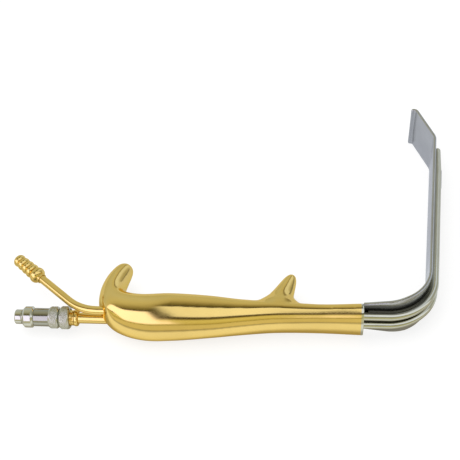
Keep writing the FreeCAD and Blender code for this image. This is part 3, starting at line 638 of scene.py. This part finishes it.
class RetractorLooks(bpy.types.PropertyGroup):
    gold: colour_property("Gold", "Colour of the handle's coating", (0.80, 0.585, 0.19))
    gold_warm: colour_property("Warm gold", "Colour of the coating's smears", (0.74, 0.50, 0.14))
    gold_roughness: gloss_property("Gold Roughness", "coating", 0.13)
    steel: colour_property("Satin steel", "Colour of the blade", (0.46, 0.465, 0.46))
    satin_roughness: gloss_property("Satin Roughness", "brushed blade", 0.17)
    steel_bright: colour_property("Bright steel", "Colour of the tubes", (0.58, 0.575, 0.47))
    polish_roughness: gloss_property("Polish Roughness", "polished steel", 0.12)
    steel_dull: colour_property("Dull steel", "Colour of knurls and solder", (0.47, 0.465, 0.38))
    knurl_roughness: gloss_property("Knurl Roughness", "knurled steel", 0.26)
    fibre: colour_property("Fibre", "Colour of the fibre ends", (0.80, 0.84, 0.82))


class RetractorSizes(bpy.types.PropertyGroup):
    grain: FloatProperty(name="Handle Grain",
                         description="Size of the grid that the handle is blended on",
                         default=0.0006, min=0.0003, max=0.002, unit="LENGTH", precision=4)
    edge: FloatProperty(name="Edge Radius", description="Rounding of the blade's edges",
                        default=0.0005, min=0.0001, max=0.0008, unit="LENGTH", precision=4)
    knurls: IntProperty(name="Knurls", description="Ridges round the knurled grips",
                        default=48, min=12, max=96)
    knurl_depth: FloatProperty(name="Knurl Depth", description="Depth of the knurl",
                               default=0.00022, min=0.0, max=0.0006, unit="LENGTH", precision=5)
    thread_pitch: FloatProperty(name="Thread Pitch", description="Pitch of the collar's thread",
                                default=0.0008, min=0.0003, max=0.002, unit="LENGTH", precision=5)


class RetractorStage(bpy.types.PropertyGroup):
    azimuth: FloatProperty(name="Azimuth", description="Direction of the camera round the table",
                           default=math.radians(7.0), unit="ROTATION")
    elevation: FloatProperty(name="Elevation", description="Height of the camera over the table",
                             default=math.radians(48.0), unit="ROTATION")
    roll: FloatProperty(name="Roll", description="Tilt of the camera about its own axis",
                        default=math.radians(-4.343), unit="ROTATION")
    distance: FloatProperty(name="Distance", description="Distance from the camera to its target",
                            default=0.59657, min=0.1, max=5.0, unit="LENGTH")
    lens: FloatProperty(name="Lens", description="Focal length in millimetres",
                        default=78.26, min=10.0, max=300.0)
    table: colour_property("Table", "Colour of the table", (0.86, 0.86, 0.86))
    lamp: FloatProperty(name="Lamp", description="Strength of the soft lamp over the table",
                        default=3.0, min=0.0, max=50.0, unit="POWER")


# Operators

class RETRACTOR_OT_handle(bpy.types.Operator):
    """Build the hollow handle with its hook and spur"""
    bl_idname = "retractor.handle"
    bl_label = "Handle"

    def execute(self, context):
        sizes = context.scene.retractor_sizes
        bm = bmesh.new()
        # The form starts in front of the plate, so that the cut below leaves a flat face.
        lead = [[point + X_AXIS * 3 for point in oval_rings(HANDLE_OVALS[:2], 24, 96)[0]]]
        skin(bm, lead + oval_rings(HANDLE_OVALS, 1.5, 96))
        skin(bm, oval_rings(SPUR_OVALS, 1.0, 72))
        mesh = with_modifiers("handle", bm, [
            ("REMESH", {"mode": "VOXEL", "voxel_size": sizes.grain, "use_smooth_shade": True}),
            ("SMOOTH", {"factor": 0.5, "iterations": 14})])
        bm = bmesh.new()
        bm.from_mesh(mesh)
        middle, (low, high) = at(*SPUR_ROOT_MIDDLE), SPUR_ROOT_HEIGHTS
        root = [vertex for vertex in bm.verts if (vertex.co - middle).length < SPUR_ROOT_REACH * MM
                and low * MM < vertex.co.y - ORIGIN.y < high * MM]
        for _ in range(SPUR_ROOT_PASSES):
            bmesh.ops.smooth_vert(bm, verts=root, factor=0.5, use_axis_x=True, use_axis_y=True,
                                  use_axis_z=True)
        everything = bm.verts[:] + bm.edges[:] + bm.faces[:]
        cut = bmesh.ops.bisect_plane(bm, geom=everything, plane_co=at(-PLATE_SET_BACK, 0),
                                     plane_no=X_AXIS, clear_outer=True)
        rim = [item for item in cut["geom_cut"] if isinstance(item, bmesh.types.BMEdge)]
        bmesh.ops.edgeloop_fill(bm, edges=rim)
        piece("handle", bm, "gold_coating",
              ("handle_left_shell", "handle_right_shell"))
        return {"FINISHED"}


class RETRACTOR_OT_front_plate(bpy.types.Operator):
    """Build the steel plate that closes the handle's front"""
    bl_idname = "retractor.front_plate"
    bl_label = "Front Plate"

    def execute(self, context):
        _, y, _, tall, wide = HANDLE_OVALS[0]
        start, end, edge = -PLATE_SET_BACK, PLATE_THICKNESS, PLATE_EDGE
        rows = ((start - 0.4, edge), (start, edge), (start, 0.0), (end - edge, 0.0),
                (end - edge / 3, edge / 3), (end, edge))
        rings = []
        for along, inset in rows:
            angles = [2 * math.pi * i / 128 for i in range(128)]
            rings.append([Vector((along, y + (tall - inset) * math.sin(angle),
                                  (wide - inset) * math.cos(angle))) for angle in angles])
        skinned_piece("front_plate", rings, "polished_steel",
                      ("front_end_plate",))
        return {"FINISHED"}


def blade_half_width(x):
    """Half width of the blade over a place on the handle's axis: neck, flare, full width."""
    t = min(1.0, max(0.0, (x - FLARE_START) / (FLARE_END - FLARE_START)))
    return NECK_HALF_WIDTH + (BLADE_HALF_WIDTH - NECK_HALF_WIDTH) * t


def blade_outline(half_width, half_thick, edge, across=30, corner=10):
    """The blade's arched section with rounded edges: (inward, across) round its outline."""
    radius = (BLADE_HALF_WIDTH ** 2 + BLADE_ARCH ** 2) / (2 * BLADE_ARCH)
    flat = half_width - edge
    points = []
    for side in (-1, 1):
        points += [(-side * half_thick, side * flat * (2 * i / across - 1))
                   for i in range(across + 1)]
        for i in range(1, corner):
            angle = math.radians(180 + 90 * side + 180 * i / corner)
            rise = math.sin(angle)
            level = math.copysign(1, rise) * (half_thick - edge) if abs(rise) > 1e-6 else 0.0
            points.append((level + edge * rise, side * flat + edge * math.cos(angle)))
    return [(v + math.sqrt(radius ** 2 - w ** 2) - radius, w) for v, w in points]


class RETRACTOR_OT_blade(bpy.types.Operator):
    """Build the blade with its neck, bend, lip and flange"""
    bl_idname = "retractor.blade"
    bl_label = "Blade"

    def execute(self, context):
        edge = context.scene.retractor_sizes.edge / MM
        runs = ((BEND_START - PLATE_THICKNESS,), (BEND_RADIUS, BEND_TURN), (BLADE_RISE,)) + LIP_RUNS
        path = samples_along((PLATE_THICKNESS, BLADE_LEVEL, 0), runs, 1.5)
        end, heading = path.pop()
        before = path[-1][0]
        rows = 14
        path += [(before.lerp(end, i / rows), heading) for i in range(1, rows + 1)]

        def rounding(left, radius):
            """How far a rounded end is drawn in at a distance from its tip."""
            return radius - math.sqrt(radius ** 2 - (radius - left) ** 2) if left < radius else 0.0

        def section(index):
            place, _ = path[index]
            half = blade_half_width(place.x) if place.y < FLARE_HEIGHT else BLADE_HALF_WIDTH
            left = (end - place).length
            return blade_outline(half - rounding(left, LIP_CORNER),
                                 BLADE_THICKNESS / 2 - rounding(left, edge), edge)

        skinned_piece("blade_sheet", swept_rings(path, section), "satin_steel",
                      ("blade",))
        return {"FINISHED"}


def tube_path(rise, start=0.0, step=1.5):
    """A tube's path from the front plate or inside it, under the neck and up the blade."""
    runs = ((-start,),) if start else ()
    return samples_along((start, 0, 0), runs + (
        (BEND_START,), (BEND_RADIUS + BLADE_LEVEL, BEND_TURN), (rise,)), step)


def solder_seam(name, path, side):
    """Fillets of solder between a tube and the blade."""
    outline = [(2.5, -1.9), (2.34, -1.95), (2.1, -1.5), (1.9, -1.28), (1.4, -1.0), (1.4, 1.0),
               (1.9, 1.28), (2.1, 1.5), (2.34, 1.95), (2.5, 1.9)]
    skinned_piece(name, swept_rings(path, lambda index: outline, side), "silver_solder",
                  ())


class RETRACTOR_OT_blade_tubes(bpy.types.Operator):
    """Build the steel suction and light tubes on the blade, with their solder"""
    bl_idname = "retractor.blade_tubes"
    bl_label = "Blade Tubes"

    def execute(self, context):
        radius = TUBE_DIAMETER / 2
        path = tube_path(SUCTION_RUN, -2)
        round_count = len(path)
        tip = samples_along((0, 0, 0), ((TIP_LENGTH,),), 0.8)
        place, heading = path[-1]
        ahead = forward(heading)
        path += [(place + ahead * step.x, heading) for step, _ in tip[1:]]

        def flattened(index, inset=0.0):
            t = max(0.0, (index - round_count + 1) / (len(tip) - 1))
            tall = radius + (TIP_HALF_HEIGHT - radius) * t - inset
            wide = radius + (TIP_HALF_WIDTH - radius) * t - inset
            return round_section(1.0, tall=tall, wide=wide, shift=TIP_SHIFT * t)

        rings = swept_rings(path, flattened, TUBE_SIDE)
        inner = swept_rings(path, lambda index: flattened(index, TIP_WALL), TUBE_SIDE)
        lip = [[a.lerp(b, share) for a, b in zip(rings[-1], inner[-1])] for share in (0.25, 0.75)]
        for point in rings[-1] + inner[-1]:
            point -= ahead * 0.06
        bore = inner[:-TIP_BORE_ROWS - 1:-1]
        skinned_piece("suction_tube", rings + lip + bore, "polished_steel",
                      ("blade_suction_tube",))

        light = tube_path(LIGHT_RUN, -2)
        rings = swept_rings(light, lambda index: round_section(radius), -TUBE_SIDE)
        skinned_piece("light_tube", rings, "polished_steel",
                      ("blade_light_tube",))
        solder_seam("suction_solder", path[SOLDER_START:round_count + SOLDER_END], TUBE_SIDE)
        solder_seam("light_solder", light[SOLDER_START:-SOLDER_END], -TUBE_SIDE)
        return {"FINISHED"}


class RETRACTOR_OT_light_head(bpy.types.Operator):
    """Build the housing and the window at the light tube's end"""
    bl_idname = "retractor.light_head"
    bl_label = "Light Head"

    def execute(self, context):
        place, heading = tube_path(LIGHT_RUN, step=5)[-1]
        outward = -inward(heading)
        half_width, side_height, height = 3.3, 3.9, 5.5
        radius = (half_width ** 2 + (height - side_height) ** 2) / (2 * (height - side_height))
        outline = [(0.0, -half_width)]
        for i in range(21):
            w = half_width * (i / 10 - 1)
            outline.append((height - radius + math.sqrt(radius ** 2 - w ** 2), w))
        outline.append((0.0, half_width))
        soft = softened(outline, 0.5, 3)
        rings = []
        # Places back from the housing's end, and how far its outline is drawn in there.
        for along, inset in ((0.0, 0.35), (0.1, 0.15), (0.35, 0.0), (4, 0), (9, 0), (14, 0),
                             (15.5, 0.25), (17, 0.8), (18, 1.4)):
            foot = place + forward(heading) * (0.6 - along) - outward * (TUBE_DIAMETER / 2)
            narrow, low = 1 - inset / half_width, 1 - inset / height
            rings.append([foot + outward * (v * low) + Z_AXIS * (w * narrow - TUBE_SIDE)
                          for v, w in soft])
        skinned_piece("light_housing", rings, "satin_steel", ("light_head",))
        window = softened([(0.0, 0.0), (0.0, 2.15), (0.62, 2.15), (0.62, 0.0)], 0.08, 2)
        window = [(max(d, 0.0), max(r, 0.001)) for d, r in window]
        bm = bmesh.new()
        turned(bm, window, place, heading, -TUBE_SIDE, 48)
        piece("window", bm, "light_fibres", ("light_window",))
        return {"FINISHED"}


def inlet_path():
    """The gold suction tube's path, backwards from inside the handle to the hose barb."""
    runs = ((HANDLE_END + 3 - INLET_START,), (26.0, -40.0), (24.0,))
    return [(Vector((-INLET_START - place.x, -place.y, 0)), heading + math.pi)
            for place, heading in samples_along((0, 0, 0), runs, 1.2)]


class RETRACTOR_OT_suction_inlet(bpy.types.Operator):
    """Build the bent gold suction tube and its beaded hose barb"""
    bl_idname = "retractor.suction_inlet"
    bl_label = "Suction Inlet"

    def execute(self, context):
        path = inlet_path()
        rings = swept_rings(path, lambda index: round_section(INLET_RADIUS), TUBE_SIDE)
        skinned_piece("inlet_tube", rings, "gold_coating", ("rear_suction_tube",))
        place, heading = path[-1]
        neck, bore, along = BARB_NECK, BARB_BORE, BARB_COLLAR
        outline = softened([(0, 2.3), (0, 2.9), (along, 2.9), (along, neck)], 0.25, 3)
        beads = [FIRST_BEAD + (24,)] + [(BEAD_LENGTH, radius - neck, 18) for radius in BEAD_RADII]
        for length, rise, steps in beads:
            outline += bow((along, neck), (along + length, neck), rise, steps)
            along += length
        outline += [(along, bore + 0.3), (along - 0.3, bore), (along - 8, bore), (along - 8, 0.01),
                    (0.5, 0.01)]
        bm = bmesh.new()
        turned(bm, outline, place, heading, TUBE_SIDE)
        piece("barb", bm, "gold_coating", ("hose_barb",), sharp=50)
        return {"FINISHED"}


class RETRACTOR_OT_light_post(bpy.types.Operator):
    """Build the gold light post with its ring and threaded collar"""
    bl_idname = "retractor.light_post"
    bl_label = "Light Post"

    def execute(self, context):
        pitch = context.scene.retractor_sizes.thread_pitch / MM
        turned_piece("post", [(0, 1.9), (60, 1.9), (60, 3.05), (0, 3.05)], POST_PLACE,
                     "gold_coating", ("light_post",), 0.3, step=4.0)
        turned_piece("gold_ring", [
            (0, 3.1), (2.3, 3.1), (2.3, 4.2), (1.8, 4.7), (0.5, 4.7), (0, 4.2)],
            RING_PLACE, "gold_coating", ("post_ring",), 0.25)

        def thread(distance, radius, angle):
            if radius < 4.3 or distance > 5.4:
                return 0.0
            phase = (distance / pitch + angle / (2 * math.pi)) % 1.0
            return -THREAD_DEPTH * abs(2 * phase - 1)

        turned_piece("threaded_collar", [(0, 3.1), (5.9, 3.1), (5.9, 4.4), (0, 4.4)], COLLAR_PLACE,
                     "gold_coating", ("post_collar",), 0.12, step=0.1, relief=thread)
        return {"FINISHED"}


class RETRACTOR_OT_light_adapter(bpy.types.Operator):
    """Build the knurled union nut and the light adapter behind it"""
    bl_idname = "retractor.light_adapter"
    bl_label = "Light Adapter"

    def execute(self, context):
        sizes = context.scene.retractor_sizes
        depth = sizes.knurl_depth / MM
        ridges = sizes.knurls

        def knurl(low, high, outside):
            """Two crossing families of grooves between two places of an outline."""
            def relief(distance, radius, angle):
                if radius < outside - 1.0 or not low < distance < high:
                    return 0.0
                slant = distance / outside
                first = abs((ridges * (angle + slant) / (2 * math.pi)) % 1.0 - 0.5)
                second = abs((ridges * (angle - slant) / (2 * math.pi)) % 1.0 - 0.5)
                fade = min(1.0, (distance - low) / 0.3, (high - distance) / 0.3)
                return -2 * depth * (0.5 - min(first, second)) * fade
            return relief

        turned_piece("knurled_nut", [
            (0, 4.3), (1.5, 4.3), (1.5, 4.7), (6.1, 4.7), (6.1, 5.6), (5.1, NUT_RADIUS),
            (1.5, NUT_RADIUS), (0, 5.4)], NUT_PLACE, "knurled_steel", ("union_nut",), 0.4, 0.14,
            "union_nut", around=480, relief=knurl(1.3, 5.3, NUT_RADIUS))
        turned_piece("grip_barrel", [
            (0, 3.25), (16.7, 3.25), (16.7, 4.0), (14.3, 4.0), (14.3, 5.4), (13.3, GRIP_RADIUS),
            (9.8, GRIP_RADIUS), (8.6, 5.5), (8.6, 5.2), (0, 5.2)], BARREL_PLACE, "knurled_steel",
            ("adapter_barrel",), 0.4, 0.14, "light_adapter", around=480,
            relief=knurl(9.6, 13.5, GRIP_RADIUS))
        turned_piece("nipple_flange", [
            (0, 3.5), (0, 3.65), (0.5, 4.15), (4.0, 4.15), (4.0, 3.65), (4.7, 3.65), (4.7, 4.85),
            (5.9, 6.05), (9.8, 6.05), (11.0, 4.85), (11.0, 3.25), (0.5, 3.25)], FLANGE_PLACE,
            "polished_steel", ("adapter_tip",), 0.2, 0.4, "light_adapter")
        return {"FINISHED"}


class RETRACTOR_OT_inner_pieces(bpy.types.Operator):
    """Finish the pieces inside the handle and the adapter"""
    bl_idname = "retractor.inner_pieces"
    bl_label = "Inner Pieces"

    def execute(self, context):
        for name in ("suction_coupling", "light_coupling", "inlet_ferrule", "retaining_ring"):
            dress_node(name, "polished_steel")
        dress_node("fibre_bundle", "light_fibres")
        return {"FINISHED"}


# Light of the studio round the length of the handle: from straight down behind it, through the
# room and the soft box overhead, to straight down in front. Angle in degrees and colour.
STUDIO = (
    (-90, (0.50, 0.50, 0.40)), (0, (0.66, 0.69, 0.66)), (30, (0.68, 0.67, 0.52)),
    (45, (0.60, 0.58, 0.42)), (58, (0.42, 0.39, 0.25)), (72, (0.20, 0.18, 0.08)),
    (79, (0.09, 0.08, 0.04)), (147, (0.06, 0.05, 0.02)), (152, (0.17, 0.14, 0.05)),
    (158, (0.80, 0.76, 0.42)), (168, (0.78, 0.74, 0.40)), (175, (0.62, 0.58, 0.28)),
    (180, (0.40, 0.36, 0.15)), (270, (0.8, 0.8, 0.6)))
STUDIO_PEAK = 2.0
OVERHEAD_LIGHT = (1.15, 1.18, 1.30, 1.0)
LEFT_LIGHT = (1.7, 1.62, 2.15, 1.0)
RIGHT_LIGHT = (0.86, 0.93, 1.08, 1.0)
RIGHT_WALL = (0.50, 0.50, 0.42, 1.0)
RIGHT_SEAM = (0.16, 0.13, 0.06, 1.0)
DIFFUSE_LIGHT = (0.72, 0.72, 0.72, 1.0)
WHITE = (1, 1, 1, 1)


def studio_world():
    """A white studio: a soft box overhead, a grey room behind and dark seams between them."""
    world = bpy.data.worlds.new("studio")
    world.use_nodes = True
    studio = Finish(world.node_tree)
    ray = studio.node("ShaderNodeTexCoord").outputs["Generated"]
    parts = studio.node("ShaderNodeSeparateXYZ", None, ray)
    side, back, up = (Value(studio, socket) for socket in parts.outputs)
    # Degrees round the length of the handle, as in the table above, from -90 to 270.
    turn = up.function("ARCTAN2", back) * (180 / math.pi)
    turn = turn + turn.function("LESS_THAN", -90.0) * 360
    slant = side.ramp(-0.03, -0.2) * turn.ramp(150.0, 125.0) * 32
    stops = [((angle + 90) / 360, tuple(part / STUDIO_PEAK for part in colour) + (1.0,))
             for angle, colour in STUDIO]
    ramp = studio.node("ShaderNodeValToRGB", {"stops": stops}, (turn - slant + 90) / 360)
    room = studio.mix(1.0, ramp.outputs[0], (STUDIO_PEAK,) * 3 + (1.0,), "MULTIPLY")
    # The box overhead ends at the left along a slanting edge.
    overhead = (side - (turn - 90) * 0.0024).ramp(-0.16, -0.06)
    overhead = overhead * turn.ramp(83.0, 89.0) * turn.ramp(144.0, 138.0)
    light = studio.mix(overhead, room, OVERHEAD_LIGHT)
    # The panel at the left reaches higher where it is furthest out.
    raised = turn + side.ramp(-0.6, -0.95) * 30
    left = (side - (turn - 150) * 0.0035).ramp(-0.03, -0.13)
    left = left * raised.ramp(111.0, 118.0) * raised.ramp(178.0, 172.0)
    light = studio.mix(left, light, LEFT_LIGHT)
    # At the right a seam, a bright wall and a duller one, all behind the handle.
    right = turn.ramp(100.0, 75.0)
    light = studio.mix(side.ramp(0.22, 0.32) * right, light, RIGHT_LIGHT)
    light = studio.mix(side.ramp(0.55, 0.85) * right, light, RIGHT_WALL)
    light = studio.mix(side.band(0.22, 0.10) * right * 0.85, light, RIGHT_SEAM)
    camera, glossy = studio.rays()
    seen = studio.mix(camera, studio.mix(glossy, DIFFUSE_LIGHT, light), WHITE)
    shader = studio.node("ShaderNodeBackground", None, Color=seen, Strength=1.0)
    studio.node("ShaderNodeOutputWorld", None, shader.outputs[0])
    bpy.context.scene.world = world


# The table as the metal sees it, a painted reflection towards the back: the colour in front, then
# each pair of places between which another colour takes over, and a seam with its half width. Its
# dark colour under the handle is a painted shadow.
PAINTED_TABLE_REFLECTION_FRONT = (0.62, 0.56, 0.26, 1.0)
PAINTED_TABLE_REFLECTION = (((-48.0, -40.0), (0.98, 1.0, 1.0, 1.0)), ((-17.0, -7.0), (0.35, 0.31, 0.2, 1.0)),
         ((12.0, 30.0), (0.66, 0.71, 0.74, 1.0)), ((30.0, 60.0), (0.62, 0.66, 0.76, 1.0)))
PAINTED_TABLE_REFLECTION_SEAM = ((-47.0, 13.0), (0.1, 0.08, 0.02, 1.0))


def table_finish(stage):
    """Matt white table: white to the camera, and to the metal a painted reflection and shadow."""
    material, finish = new_material("table", stage.table, 0.0)
    grain = finish.noise(700.0, 3.0)
    colour = finish.shades(grain.ramp(0.3, 0.7) * 0.3, stage.table, 1.0, 0.985)
    matt = finish.node("ShaderNodeBsdfPrincipled", None, Base_Color=colour, Roughness=1.0,
                       Specular_IOR_Level=0.0)
    back = finish.distance(1)
    # Painted reflection for the metal only: bands along the table, a dark painted seam in front and
    # a painted shadow under the handle.
    sheet = PAINTED_TABLE_REFLECTION_FRONT
    for (start, end), colour in PAINTED_TABLE_REFLECTION:
        sheet = finish.mix(back.ramp(start, end), sheet, colour)
    place, colour = PAINTED_TABLE_REFLECTION_SEAM
    sheet = finish.mix(back.band(*place), sheet, colour)
    camera, glossy = finish.rays()
    glow = finish.node("ShaderNodeEmission", None, Color=finish.mix(camera, sheet, WHITE),
                       Strength=1.22)
    share = camera.function("MAXIMUM", glossy) * 0.62
    mixed = finish.node("ShaderNodeMixShader", None, share, matt.outputs[0], glow.outputs[0])
    finish.node("ShaderNodeOutputMaterial", None, mixed.outputs[0])
    return material


TABLE_HALF_SIZE = 1.6
TABLE_GAP = 0.00005
CAMERA_TARGET = (-77.03, 64.79)


class RETRACTOR_OT_stage(bpy.types.Operator):
    """Set the table, the soft lamp, the studio and the camera"""
    bl_idname = "retractor.stage"
    bl_label = "Stage"

    def execute(self, context):
        scene = context.scene
        stage = scene.retractor_stage
        bm = bmesh.new()
        bmesh.ops.create_grid(bm, x_segments=4, y_segments=4, size=TABLE_HALF_SIZE)
        mesh = bpy.data.meshes.new("table")
        bm.to_mesh(mesh)
        bm.free()
        mesh.materials.append(table_finish(stage))
        table = bpy.data.objects.new("table", mesh)
        table.location.z = CAD_BOX[0][2] - TABLE_GAP
        scene.collection.objects.link(table)
        studio_world()
        lamp = bpy.data.lights.new("soft_lamp", "AREA")
        lamp.shape = "RECTANGLE"
        lamp.size, lamp.size_y = 0.9, 0.7
        lamp.energy = stage.lamp
        lamp_object = bpy.data.objects.new("soft_lamp", lamp)
        lamp_object.location = (-0.25, -0.1, 0.9)
        lamp_object.rotation_euler = (-lamp_object.location).to_track_quat("-Z", "Y").to_euler()
        lamp_object.visible_glossy = False
        scene.collection.objects.link(lamp_object)
        set_camera(scene, stage)
        scene.view_settings.view_transform = "Standard"
        return {"FINISHED"}


def set_camera(scene, stage):
    """Look at the instrument from the photograph's side."""
    azimuth, elevation, roll = stage.azimuth, stage.elevation, stage.roll
    level = forward(azimuth)
    back = Z_AXIS * math.sin(elevation) - inward(azimuth) * math.cos(elevation)
    rise = back.cross(level)
    right = level * math.cos(roll) + rise * math.sin(roll)
    up = rise * math.cos(roll) - level * math.sin(roll)
    data = bpy.data.cameras.new("camera")
    data.lens = stage.lens
    data.clip_start = 0.01
    camera = bpy.data.objects.new("camera", data)
    place = at(*CAMERA_TARGET) + back * stage.distance
    turn = Matrix((right, up, back)).transposed().to_4x4()
    camera.matrix_world = Matrix.Translation(place) @ turn
    scene.collection.objects.link(camera)
    scene.camera = camera


OPERATORS = (RETRACTOR_OT_stage, RETRACTOR_OT_handle, RETRACTOR_OT_front_plate, RETRACTOR_OT_blade,
             RETRACTOR_OT_blade_tubes, RETRACTOR_OT_light_head, RETRACTOR_OT_suction_inlet,
             RETRACTOR_OT_light_post, RETRACTOR_OT_light_adapter, RETRACTOR_OT_inner_pieces)
GROUPS = {"retractor_looks": RetractorLooks, "retractor_sizes": RetractorSizes,
          "retractor_stage": RetractorStage}


class RETRACTOR_PT_panel(bpy.types.Panel):
    """Settings and operators of the retractor"""
    bl_label = "Retractor"
    bl_idname = "RETRACTOR_PT_panel"
    bl_space_type = "VIEW_3D"
    bl_region_type = "UI"
    bl_category = "Retractor"

    def draw(self, context):
        for group, kind in GROUPS.items():
            column = self.layout.column(align=True)
            for name in kind.__annotations__:
                column.prop(getattr(context.scene, group), name)
        for operator in OPERATORS:
            self.layout.operator(operator.bl_idname)


CLASSES = tuple(GROUPS.values()) + OPERATORS + (RETRACTOR_PT_panel,)


def register():
    for item in CLASSES:
        bpy.utils.register_class(item)
    for name, kind in GROUPS.items():
        setattr(bpy.types.Scene, name, PointerProperty(type=kind))


def unregister():
    for name in GROUPS:
        delattr(bpy.types.Scene, name)
    for item in reversed(CLASSES):
        bpy.utils.unregister_class(item)


def main():
    register()
    for operator in OPERATORS:
        name = operator.bl_idname.split(".")[1]
        getattr(bpy.ops.retractor, name)()


if __name__ == "__main__":
    main()
